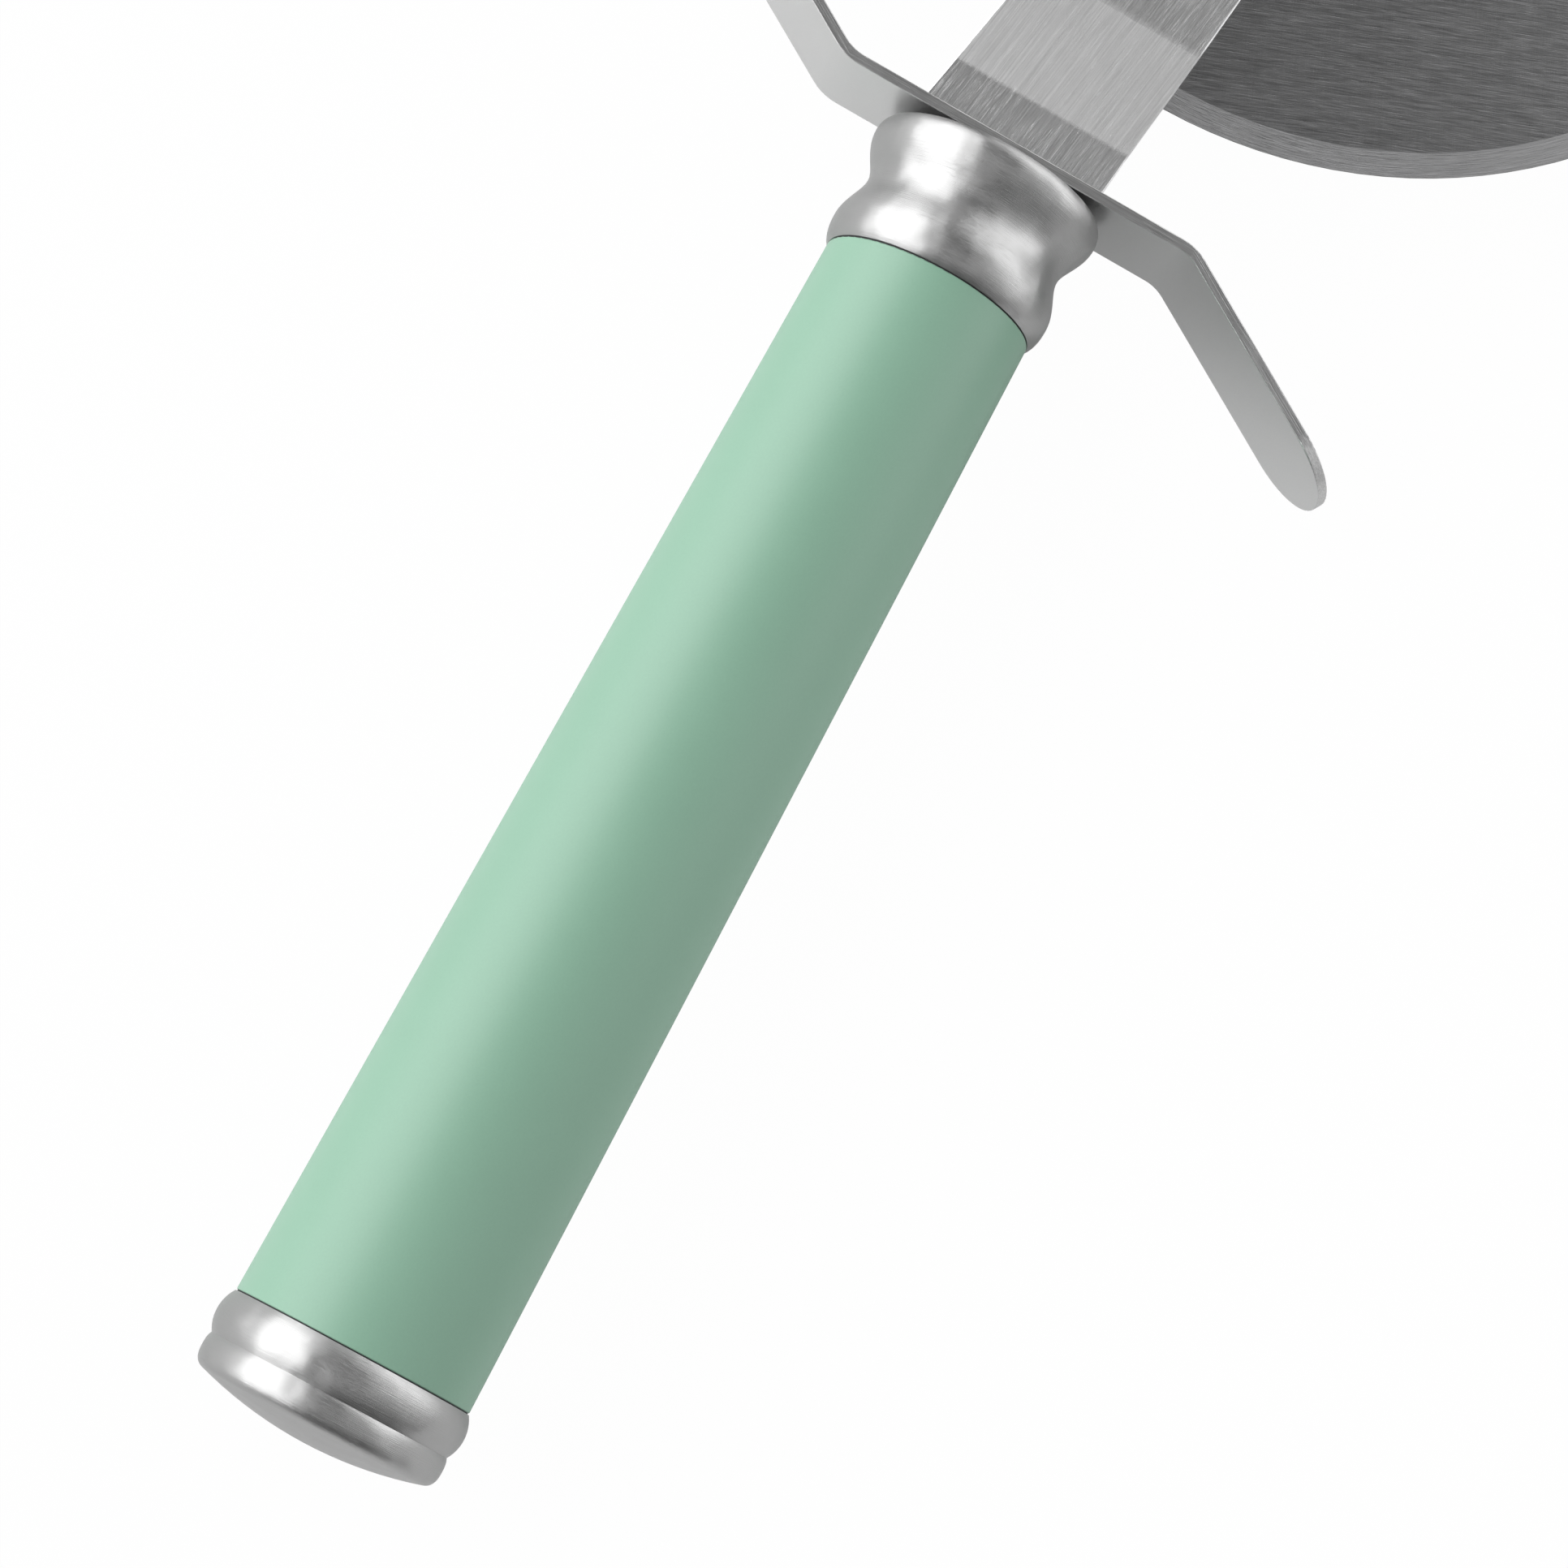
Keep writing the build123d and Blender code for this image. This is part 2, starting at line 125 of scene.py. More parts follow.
def angle_setting(name, description, degrees):
    """An angle, given in degrees."""
    return FloatProperty(
        name=name, description=description, default=math.radians(degrees), subtype="ANGLE", unit="ROTATION"
    )


def place_setting(name, description, default):
    """A place in the frame."""
    return FloatVectorProperty(
        name=name, description=description, default=default, subtype="XYZ", unit="LENGTH", precision=5
    )


def group_setting(name, group):
    """A group of settings, described as its class is."""
    return PointerProperty(name=name, description=group.__doc__.rstrip("."), type=group)


class GripSettings(PropertyGroup):
    """Finish of the grip."""

    colour: colour_setting("Colour", "Body colour of the grip", (0.25, 0.449, 0.33))
    roughness: share_setting("Roughness", "How matt the grip's skin is", 0.44)
    gloss_index: FloatProperty(name="Gloss", description="Refractive index of the skin", default=1.6, min=1.0)
    sheen: share_setting("Sheen", "Strength of the soft bloom towards the edges", 0.08)
    sheen_roughness: share_setting("Sheen roughness", "How far the bloom spreads from the edges", 0.6)
    grain: length_setting("Grain", "Size of the grains in the skin", 0.22 * MM)
    grain_depth: length_setting("Grain depth", "Depth of the grains in the skin", 0.004 * MM)
    grain_tint: tint_setting("Grain", 0.08)
    grain_matt: matt_setting("Grain", 0.1)
    haze: length_setting("Haze", "Size of the faint clouds in the skin", 8 * MM)
    haze_tint: tint_setting("Haze", 0.04)
    haze_matt: matt_setting("Haze", 0.1)


class TurnedSettings(PropertyGroup):
    """Finish of the bolster and the end cap."""

    colour: colour_setting("Colour", "Colour of the polished steel", (0.47, 0.47, 0.47))
    roughness: share_setting("Roughness", "How soft the reflections are", 0.33)
    line_spacing: length_setting("Line spacing", "Spacing of the polishing lines", 0.035 * MM)
    line_length: length_setting("Line length", "Length of the polishing lines", 2.5 * MM)
    line_depth: length_setting("Line depth", "Depth of the polishing lines", 0.02 * MM)
    line_tint: tint_setting("Lines", 0.08)
    line_matt: matt_setting("Lines", 0.06)
    haze: length_setting("Haze", "Size of the faint clouds", 3 * MM)
    haze_tint: tint_setting("Haze", 0.04)
    haze_matt: matt_setting("Haze", 0.12)
    wave: length_setting("Wave", "Length of the faint waves left by hand polishing", 4 * MM)
    wave_depth: length_setting("Wave depth", "Depth of the waves", 0.3 * MM)
    flat_middle: length_setting("Flat middle", "Radius at the dome's middle with plain faces", 2.6 * MM)


class ArmSettings(PropertyGroup):
    """Finish of the arm."""

    colour: colour_setting("Colour", "Colour of the brushed steel", (0.8, 0.8, 0.8))
    roughness: share_setting("Roughness", "How soft the reflections are", 0.34)
    glancing: colour_setting("Glancing", "Tint of the reflections at a glancing view", (0.5, 0.5, 0.5))
    line_spacing: length_setting("Line spacing", "Spacing of the brushed lines", 0.05 * MM)
    line_length: length_setting("Line length", "Length of the brushed lines", 3.5 * MM)
    line_depth: length_setting("Line depth", "Depth of the brushed lines", 0.018 * MM)
    line_tint: tint_setting("Lines", 0.4)
    line_matt: matt_setting("Lines", 0.2)
    streak_spacing: length_setting("Streak spacing", "Spacing of the broader streaks", 0.15 * MM)
    streak_length: length_setting("Streak length", "Length of the broader streaks", 14 * MM)
    streak_tint: tint_setting("Streaks", 0.6)
    fleck_length: length_setting("Fleck length", "Length of the bright flecks by the guard", 0.35 * MM)
    fleck_tint: tint_setting("Flecks", 0.5)
    fade_start: length_setting("Fade start", "Where the flecks start to fade, past the bolster", 2 * MM)
    fade_end: length_setting("Fade end", "Where the flecks end, past the bolster", 6 * MM)
    crank_start: length_setting("Crank start", "Where the arm starts to rise", 20.3 * MM)
    crank_end: length_setting("Crank end", "Where the arm stops rising", 31.2 * MM)


class GuardSettings(PropertyGroup):
    """Finish of the guard."""

    colour: colour_setting("Colour", "Colour of the satin steel", (0.74, 0.74, 0.74))
    roughness: share_setting("Roughness", "How soft the reflections are", 0.33)
    # The edges' darkness is partly the grinding's own tone and partly painted shade.
    edge_shade: share_setting("Edge shade", "Brightness of the ground edges against the faces", 0.85)
    line_spacing: length_setting("Line spacing", "Spacing of the grinding lines on its edges", 0.1 * MM)
    line_length: length_setting("Line length", "Length of the grinding lines on its edges", 7 * MM)
    line_depth: length_setting("Line depth", "Depth of the grinding lines on its edges", 0.026 * MM)
    line_tint: tint_setting("Lines", 0.7)
    grain: length_setting("Grain", "Size of the grains on its faces", 0.16 * MM)
    grain_depth: length_setting("Grain depth", "Depth of the grains on its faces", 0.0026 * MM)
    grain_tint: tint_setting("Grain", 0.1)
    grain_matt: matt_setting("Grain", 0.1)
    haze: length_setting("Haze", "Size of the faint clouds on its faces", 4 * MM)
    haze_tint: tint_setting("Haze", 0.06)
    haze_matt: matt_setting("Haze", 0.15)
    bend_angle: angle_setting("Bend angle", "Turn of the wings from the middle", 31)
    left_bend: length_setting("Left bend", "Distance of the left bend from the handle's axis", 16.6 * MM)
    right_bend: length_setting("Right bend", "Distance of the right bend from the handle's axis", 18.4 * MM)


class BladeSettings(PropertyGroup):
    """Finish of the disc."""

    colour: colour_setting("Colour", "Colour of the ground steel", (0.37, 0.37, 0.374))
    roughness: share_setting("Roughness", "How soft the reflections are", 0.31)
    glancing: colour_setting("Glancing", "Tint of the reflections at a glancing view", (0.5, 0.5, 0.5))
    line_spacing: length_setting("Line spacing", "Spacing of the ground lines", 0.08 * MM)
    line_length: length_setting("Line length", "Length of the ground lines", 3 * MM)
    line_depth: length_setting("Line depth", "Depth of the ground lines", 0.03 * MM)
    line_tint: tint_setting("Lines", 1.0)
    line_matt: matt_setting("Lines", 0.2)
    line_angle: angle_setting("Line angle", "Direction of the lines on the faces, from the handle", -67.5)
    weave: share_setting("Weave", "Share of fainter lines that cross the others", 0.12)
    bevel_width: length_setting("Bevel width", "Width of the ground bevel", 2.2 * MM)
    # The bevel's extra brightness is a painted highlight.
    bevel_shine: share_setting("Bevel shine", "How much brighter the bevel is than the faces", 0.4)


class AxleSettings(PropertyGroup):
    """Finish of the hub, the axle and its nut."""

    brass: colour_setting("Brass", "Colour of the hub", (0.62, 0.43, 0.16))
    brass_roughness: share_setting("Brass roughness", "How soft the hub's reflections are", 0.3)
    steel: colour_setting("Steel", "Colour of the axle and its nut", (0.66, 0.66, 0.66))
    steel_roughness: share_setting("Steel roughness", "How soft the axle's reflections are", 0.24)
    line_spacing: length_setting("Line spacing", "Spacing of the turning lines", 0.1 * MM)
    line_length: length_setting("Line length", "Length of the turning lines", 8 * MM)
    line_depth: length_setting("Line depth", "Depth of the turning lines", 0.002 * MM)
    line_tint: tint_setting("Lines", 0.3)
    line_matt: matt_setting("Lines", 0.15)
    haze: length_setting("Haze", "Size of the faint clouds", 2 * MM)
    haze_matt: matt_setting("Haze", 0.1)


class PlatedSettings(PropertyGroup):
    """Finish of the rod, pins, nut and washers in the handle."""

    colour: colour_setting("Colour", "Colour of the plating", (0.6, 0.61, 0.63))
    roughness: share_setting("Roughness", "How soft the reflections are", 0.28)
    grain: length_setting("Grain", "Size of the grains in the plating", 0.1 * MM)
    grain_depth: length_setting("Grain depth", "Depth of the grains in the plating", 0.002 * MM)
    grain_tint: tint_setting("Grain", 0.1)
    haze: length_setting("Haze", "Size of the faint clouds", 1.5 * MM)
    haze_tint: tint_setting("Haze", 0.2)
    haze_matt: matt_setting("Haze", 0.2)


class MouldedSettings(PropertyGroup):
    """Finish of the washers beside the hub, the seals, the core halves and the insert."""

    acetal: colour_setting("Acetal", "Colour of the washers beside the hub", (0.78, 0.78, 0.74))
    acetal_roughness: share_setting("Acetal roughness", "How matt the washers are", 0.35)
    acetal_grain: length_setting("Acetal grain", "Size of the grains in the washers' skin", 0.3 * MM)
    rubber: colour_setting("Rubber", "Colour of the seals", (0.03, 0.03, 0.032))
    rubber_roughness: share_setting("Rubber roughness", "How matt the seals are", 0.7)
    rubber_grain: length_setting("Rubber grain", "Size of the grains in the seals' skin", 0.15 * MM)
    nylon: colour_setting("Nylon", "Colour of the core halves and the insert", (0.075, 0.08, 0.085))
    nylon_roughness: share_setting("Nylon roughness", "How matt the core halves and the insert are", 0.6)
    nylon_grain: length_setting("Nylon grain", "Size of the grains in the core's skin", 0.25 * MM)
    grain_depth: length_setting("Grain depth", "Depth of all these grains", 0.005 * MM)
    grain_tint: tint_setting("Grain", 0.2)
    grain_matt: matt_setting("Grain", 0.15)
    haze: length_setting("Haze", "Size of the faint clouds", 4 * MM)
    haze_tint: tint_setting("Haze", 0.1)


class StageSettings(PropertyGroup):
    """Floor, light and camera."""

    floor_colour: colour_setting("Floor colour", "Colour of the floor", (0.85, 0.85, 0.85))
    floor_size: length_setting("Floor size", "Side of the square floor", 6.0)
    floor_glow: share_setting("Floor glow", "How far the floor shows as plain white", 0.98)
    floor_mirrored: share_setting("Floor mirrored", "How far the floor is plain white in reflections", 0.06)
    sky_colour: colour_setting("Sky colour", "Light from all round", (0.12, 0.12, 0.12))
    light_level: FloatProperty(name="Light level", description="Strength of all lamps", default=1.0, min=0.0)
    camera_place: place_setting(
        "Camera place", "Where the camera stands", (-109.22 * MM, 22.43 * MM, 362.33 * MM)
    )
    camera_aim: place_setting(
        "Camera aim", "The point in the middle of the picture", (-44.65 * MM, -9.37 * MM, 0.0)
    )
    camera_turn: angle_setting("Camera turn", "From the handle's direction to the picture's upright", 28.22)
    lens: FloatProperty(
        name="Lens", description="Focal length for a film 36 mm wide", default=97.32, min=1.0, unit="CAMERA"
    )


class PizzaWheelSettings(PropertyGroup):
    """All the settings of the finishes and the stage."""

    blade: group_setting("Blade", BladeSettings)
    axle: group_setting("Hub and axle", AxleSettings)
    arm: group_setting("Arm", ArmSettings)
    guard: group_setting("Guard", GuardSettings)
    turned: group_setting("Bolster and cap", TurnedSettings)
    grip: group_setting("Grip", GripSettings)
    moulded: group_setting("Washers, seals and core", MouldedSettings)
    plated: group_setting("Rod and pins", PlatedSettings)
    stage: group_setting("Stage", StageSettings)


class Lamp(NamedTuple):
    """A panel lamp, with its sizes in metres and its angles in degrees.

    The azimuth goes from the handle's direction towards its left, and white has a brightness of 1.
    """

    name: str
    azimuth: float
    elevation: float
    distance: float
    roll: float
    width: float
    height: float
    brightness: float


LAMPS = (
    Lamp(
        "left_softbox",
        azimuth=88, elevation=26, distance=0.8, roll=4, width=2.2, height=0.95, brightness=2.45,
    ),
    Lamp(
        "right_panel",
        azimuth=293, elevation=29, distance=0.8, roll=-15, width=1.9, height=1.2, brightness=0.4,
    ),
    Lamp(
        "front_panel",
        azimuth=325, elevation=15, distance=0.8, roll=0, width=1.4, height=0.8, brightness=1.4,
    ),
    Lamp(
        "rear_panel",
        azimuth=180, elevation=74, distance=0.9, roll=0, width=1.0, height=0.35, brightness=0.62,
    ),
)


class Value:
    """A value that varies over a surface: a socket, with arithmetic that adds Math nodes."""

    def __init__(self, nodes, socket):
        self.nodes = nodes
        self.socket = socket

    def maths(self, operation, *operands):
        return self.nodes.add("ShaderNodeMath", {"operation": operation}, dict(enumerate(operands)))

    def __add__(self, other):
        return self.maths("ADD", self, other)

    def __sub__(self, other):
        return self.maths("SUBTRACT", self, other)

    def __rsub__(self, other):
        return self.maths("SUBTRACT", other, self)

    def __mul__(self, other):
        return self.maths("MULTIPLY", self, other)

    def __truediv__(self, other):
        return self.maths("DIVIDE", self, other)

    def __rtruediv__(self, other):
        return self.maths("DIVIDE", other, self)

    def __pow__(self, other):
        return self.maths("POWER", self, other)

    def __rpow__(self, other):
        return self.maths("POWER", other, self)

    __radd__ = __add__
    __rmul__ = __mul__

    def at_least(self, low):
        """The value, or low where that is more."""
        return self.maths("MAXIMUM", self, low)

    def at_most(self, high):
        """The value, or high where that is less."""
        return self.maths("MINIMUM", self, high)

    def rise(self, start, end):
        """0 below start, 1 above end, and a smooth step between."""
        sockets = {"Value": self, "From Min": start, "From Max": end}
        return self.nodes.add("ShaderNodeMapRange", {"interpolation_type": "SMOOTHSTEP"}, sockets)

    def swing(self, amount):
        """A noise about its middle, times an amount."""
        return (self - NOISE_MIDDLE) * amount

    def choose(self, first, second):
        """The first value where this one is 0, the second where it is 1, and a blend between."""
        return (1 - self) * first + self * second


class Nodes:
    """The nodes of a material or a world."""

    def __init__(self, owner):
        owner.use_nodes = True
        self.tree = owner.node_tree
        self.tree.nodes.clear()

    def put(self, socket, value):
        """Gives a socket a link or a plain value."""
        if isinstance(value, Value):
            self.tree.links.new(value.socket, socket)
        elif socket.type == "RGBA":
            socket.default_value = (*value, 1.0)
        else:
            socket.default_value = value

    def add(self, kind, settings, sockets, output=0):
        """A node with its settings and inputs, as the value of one of its outputs."""
        node = self.tree.nodes.new(kind)
        for name, setting in settings.items():
            setattr(node, name, setting)
        for name, value in sockets.items():
            self.put(node.inputs[name], value)
        return Value(self, node.outputs[output] if node.outputs else None)


class Finish(Nodes):
    """A material in the making: a Principled shader and the nodes that feed it."""

    def __init__(self, name, constants):
        self.material = bpy.data.materials.new(name)
        super().__init__(self.material)
        surface = self.add("ShaderNodeBsdfPrincipled", {}, constants)
        self.shader = surface.socket.node
        self.add("ShaderNodeOutputMaterial", {}, {"Surface": surface})

    def feed(self, socket, value):
        """Feeds one of the shader's sockets."""
        self.put(self.shader.inputs[socket], value)

    def place(self):
        """Place on the piece along X, Y and Z, in metres."""
        return self.split(self.add("ShaderNodeTexCoord", {}, {}, "Object"))

    def facing(self):
        """Direction that the surface faces, along X, Y and Z."""
        return self.split(self.add("ShaderNodeTexCoord", {}, {}, "Normal"))

    def split(self, vector):
        """The three parts of a vector."""
        return [self.add("ShaderNodeSeparateXYZ", {}, {0: vector}, axis) for axis in "XYZ"]

    def noise(self, x, y, z, detail=BROKEN):
        """Soft noise, mostly from 0.3 to 0.7, whose grains are about 1 across in x, y and z."""
        vector = self.add("ShaderNodeCombineXYZ", {}, {0: x, 1: y, 2: z})
        return self.add("ShaderNodeTexNoise", {}, {"Vector": vector, "Scale": 1.0, "Detail": detail})

    def cloud(self, size, detail=BROKEN):
        """Noise of one size in all directions."""
        x, y, z = self.place()
        return self.noise(x / size, y / size, z / size, detail)

    def facets(self, share):
        """The surface's normal: smooth where the share is 0, and of the mesh's flat faces where it is 1."""
        smooth = self.add("ShaderNodeNewGeometry", {}, {}, "Normal")
        flat = self.add("ShaderNodeNewGeometry", {}, {}, "True Normal")
        sockets = {MIX_FACTOR: share, MIX_FIRST: smooth, MIX_SECOND: flat}
        return self.add("ShaderNodeMix", {"data_type": "VECTOR"}, sockets, MIX_RESULT)

    def tint(self, colour, strength):
        """Feeds the shader's colour: one colour, times a number that varies."""
        sockets = {0: colour, "Scale": strength}
        self.feed("Base Color", self.add("ShaderNodeVectorMath", {"operation": "SCALE"}, sockets))

    def bump(self, height, depth, **normal):
        """Feeds the shader's normal from a height from 0 to 1, over a depth in metres."""
        sockets = {"Distance": depth, "Height": height, **normal}
        self.feed("Normal", self.add("ShaderNodeBump", {}, sockets))

    def cover(self, *names):
        """Puts the material on nodes of the frame."""
        for name in names:
            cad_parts[name].material_slots[0].material = self.material


def from_axis(first, second):
    """Distance from an axis, from the two offsets square to it."""
    return (first * first + second * second) ** 0.5


def mint_plastic(settings):
    """Satin plastic with a very fine grain."""
    sheen = {"Sheen Weight": settings.sheen, "Sheen Roughness": settings.sheen_roughness}
    finish = Finish("mint_plastic", {"IOR": settings.gloss_index, **sheen})
    grain = finish.cloud(settings.grain)
    haze = finish.cloud(settings.haze)
    finish.tint(settings.colour, 1 + grain.swing(settings.grain_tint) + haze.swing(settings.haze_tint))
    matt = haze.swing(settings.haze_matt) + grain.swing(settings.grain_matt)
    finish.feed("Roughness", settings.roughness + matt)
    finish.bump(grain, settings.grain_depth)
    return finish


def turned_steel(settings):
    """Satin-polished steel, turned about the handle's axis."""
    finish = Finish("turned_steel", METAL)
    x, y, z = finish.place()
    length = settings.line_length
    lines = finish.noise(x / settings.line_spacing, y / length, z / length)
    haze = finish.cloud(settings.haze, CLOUDED)
    waves = finish.cloud(settings.wave, SMOOTH)
    finish.tint(settings.colour, 1 + lines.swing(settings.line_tint) + haze.swing(settings.haze_tint))
    matt = haze.swing(settings.haze_matt) + lines.swing(settings.line_matt)
    finish.feed("Roughness", settings.roughness + matt)
    middle = 1 - from_axis(y, z).rise(WHOLLY_FLAT * settings.flat_middle, settings.flat_middle)
    height = lines + waves * (settings.wave_depth / settings.line_depth)
    finish.bump(height, settings.line_depth, Normal=finish.facets(middle))
    return finish


def brushed_steel(settings):
    """Steel brushed along the arm, over its crank and out to its eye."""
    finish = Finish("brushed_steel", {**METAL, "Specular Tint": settings.glancing})
    x, y, z = finish.place()
    run = settings.crank_end - settings.crank_start
    climb = ((x - settings.crank_start) / run).at_least(0.0).at_most(1.0) * CRANK_RISE
    lean = AXLE.y / (AXLE.x - BOLSTER_FRONT)
    across = y - (x - BOLSTER_FRONT) * lean
    spacing = settings.line_spacing
    depth = (z - climb) / settings.streak_spacing
    lines = finish.noise(x / settings.line_length, across / spacing, depth)
    streaks = finish.noise(x / settings.streak_length, across / settings.streak_spacing, depth)
    flecks = finish.noise(x / settings.fleck_length, across / spacing, depth).rise(FLECK_START, FLECK_FULL)
    by_guard = 1 - x.rise(BOLSTER_FRONT + settings.fade_start, BOLSTER_FRONT + settings.fade_end)
    worn = lines.swing(settings.line_tint) + streaks.swing(settings.streak_tint)
    finish.tint(settings.colour, 1 + worn + settings.fleck_tint * flecks * by_guard)
    finish.feed("Roughness", settings.roughness + lines.swing(settings.line_matt))
    finish.bump(lines, settings.line_depth)
    return finish


def satin_steel(settings):
    """Steel with satin faces, and edges ground along the strip and painted darker than the faces, partly for
    the grinding and partly as painted shade.
    """
    finish = Finish("satin_steel", METAL)
    x, y, z = finish.place()
    nx, ny, nz = finish.facing()
    past_bend = y - y.at_least(-settings.right_bend).at_most(settings.left_bend)
    across = x - past_bend * math.tan(settings.bend_angle)
    along_strip = nx * math.sin(settings.bend_angle) + ny * math.cos(settings.bend_angle)
    edge = (nz * nz + along_strip * along_strip).rise(EDGE_START, EDGE_FULL)
    spacing = settings.line_spacing
    lines = finish.noise(y / settings.line_length, across / spacing, z / spacing)
    grain = finish.cloud(settings.grain)
    haze = finish.cloud(settings.haze, CLOUDED)
    satin = 1 + grain.swing(settings.grain_tint) + haze.swing(settings.haze_tint)
    # Edges painted darker than the faces: partly the grinding's tone, partly painted shade.
    ground = settings.edge_shade + lines.swing(settings.line_tint)
    finish.tint(settings.colour, edge.choose(satin, ground))
    matt = haze.swing(settings.haze_matt) + grain.swing(settings.grain_matt)
    finish.feed("Roughness", settings.roughness + matt)
    height = edge.choose(grain * (settings.grain_depth / settings.line_depth), lines)
    finish.bump(height, settings.line_depth)
    return finish


def ground_steel(settings):
    """Steel ground straight across the disc's faces, and round its bevel, whose colour carries a painted
    highlight.
    """
    finish = Finish("ground_steel", {**METAL, "Specular Tint": settings.glancing})
    x, y, z = finish.place()
    dx = x - AXLE.x
    dy = y - AXLE.y
    radius = from_axis(dx, dy)
    cosine = math.cos(settings.line_angle)
    sine = math.sin(settings.line_angle)
    along = cosine * dx + sine * dy
    across = cosine * dy - sine * dx
    spacing = settings.line_spacing
    length = settings.line_length
    lines = finish.noise(along / length, across / spacing, z / MM)
    weave = finish.noise(along / spacing, across / length, z / MM)
    rings = finish.noise(dx / length, dy / length, radius / spacing)
    bevel_start = DISC_RADIUS - settings.bevel_width
    bevel = radius.rise(bevel_start - spacing, bevel_start + spacing)
    face = (1 - settings.weave) * lines + settings.weave * weave
    worn = bevel.choose(face, rings)
    # The bevel's colour is lifted above the faces' as a painted highlight.
    finish.tint(settings.colour, 1 + worn.swing(settings.line_tint) + settings.bevel_shine * bevel)
    finish.feed("Roughness", settings.roughness + worn.swing(settings.line_matt))
    finish.bump(worn, settings.line_depth)
    return finish


def axle_turning(name, colour, roughness, settings):
    """Metal turned about the axle."""
    finish = Finish(name, METAL)
    x, y, z = finish.place()
    dx = x - AXLE.x
    dy = y - AXLE.y
    length = settings.line_length
    rings = finish.noise(dx / length, dy / length, (from_axis(dx, dy) + z) / settings.line_spacing)
    haze = finish.cloud(settings.haze)
    finish.tint(colour, 1 + rings.swing(settings.line_tint))
    matt = rings.swing(settings.line_matt) + haze.swing(settings.haze_matt)
    finish.feed("Roughness", roughness + matt)
    finish.bump(rings, settings.line_depth)
    return finish


def plated_steel(settings):
    """Bright plated steel, faintly clouded."""
    finish = Finish("plated_steel", METAL)
    haze = finish.cloud(settings.haze, CLOUDED)
    grain = finish.cloud(settings.grain)
    finish.tint(settings.colour, 1 + haze.swing(settings.haze_tint) + grain.swing(settings.grain_tint))
    finish.feed("Roughness", settings.roughness + haze.swing(settings.haze_matt))
    finish.bump(grain, settings.grain_depth)
    return finish


def moulded(name, colour, roughness, grain_size, settings):
    """Moulded plastic or rubber with a matt skin."""
    finish = Finish(name, {})
    grain = finish.cloud(grain_size)
    haze = finish.cloud(settings.haze)
    finish.tint(colour, 1 + grain.swing(settings.grain_tint) + haze.swing(settings.haze_tint))
    finish.feed("Roughness", roughness + grain.swing(settings.grain_matt))
    finish.bump(grain, settings.grain_depth)
    return finish


def white_acetal(settings):
    """Smooth, slightly waxy plastic."""
    look = (settings.acetal, settings.acetal_roughness, settings.acetal_grain)
    return moulded("white_acetal", *look, settings)


def dark_rubber(settings):
    """Matt rubber."""
    look = (settings.rubber, settings.rubber_roughness, settings.rubber_grain)
    return moulded("dark_rubber", *look, settings)


def grey_nylon(settings):
    """Matt plastic, as moulded."""
    look = (settings.nylon, settings.nylon_roughness, settings.nylon_grain)
    return moulded("grey_nylon", *look, settings)


def floor_white(settings):
    """Paint that the camera sees as plain white, but for a faint shadow."""
    material = bpy.data.materials.new("floor_white")
    nodes = Nodes(material)
    paint = nodes.add("ShaderNodeBsdfDiffuse", {}, {"Color": settings.floor_colour})
    glow = nodes.add("ShaderNodeEmission", {}, {"Color": WHITE})
    seen = nodes.add("ShaderNodeLightPath", {}, {}, "Is Camera Ray")
    mirrored = nodes.add("ShaderNodeLightPath", {}, {}, "Is Glossy Ray")
    share = settings.floor_glow * seen + settings.floor_mirrored * mirrored
    surface = nodes.add("ShaderNodeMixShader", {}, {0: share, 1: paint, 2: glow})
    nodes.add("ShaderNodeOutputMaterial", {}, {"Surface": surface})
    return material


def lay_floor(settings):
    """A square floor under the object."""
    half = settings.floor_size / 2
    height = CAD_BOX[0].z
    corners = [(-half, -half, height), (half, -half, height), (half, half, height), (-half, half, height)]
    mesh = bpy.data.meshes.new("floor")
    mesh.from_pydata(corners, [], [(0, 1, 2, 3)])
    mesh.materials.append(floor_white(settings))
    floor = bpy.data.objects.new("floor", mesh)
    bpy.context.collection.objects.link(floor)


def light_sky(settings):
    """Grey light from all round, which the camera sees as white."""
    world = bpy.data.worlds.new("studio")
    nodes = Nodes(world)
    seen = nodes.add("ShaderNodeLightPath", {}, {}, "Is Camera Ray")
    dim = nodes.add("ShaderNodeBackground", {}, {"Color": settings.sky_colour})
    white = nodes.add("ShaderNodeBackground", {}, {"Color": WHITE})
    sky = nodes.add("ShaderNodeMixShader", {}, {0: seen, 1: dim, 2: white})
    nodes.add("ShaderNodeOutputWorld", {}, {"Surface": sky})
    bpy.context.scene.world = world


def hang_lamp(lamp, light_level):
    """A soft panel that shines at the origin."""
    data = bpy.data.lights.new(lamp.name, "AREA")
    data.shape = "RECTANGLE"
    data.size = lamp.width
    data.size_y = lamp.height
    data.energy = math.pi * lamp.width * lamp.height * lamp.brightness * light_level
    panel = bpy.data.objects.new(lamp.name, data)
    azimuth = math.radians(lamp.azimuth)
    elevation = math.radians(lamp.elevation)
    level = math.cos(elevation)
    away = Vector((level * math.cos(azimuth), level * math.sin(azimuth), math.sin(elevation)))
    panel.location = away * lamp.distance
    roll = Quaternion(away, math.radians(lamp.roll))
    panel.rotation_euler = (roll @ away.to_track_quat("Z", "Y")).to_euler()
    bpy.context.collection.objects.link(panel)


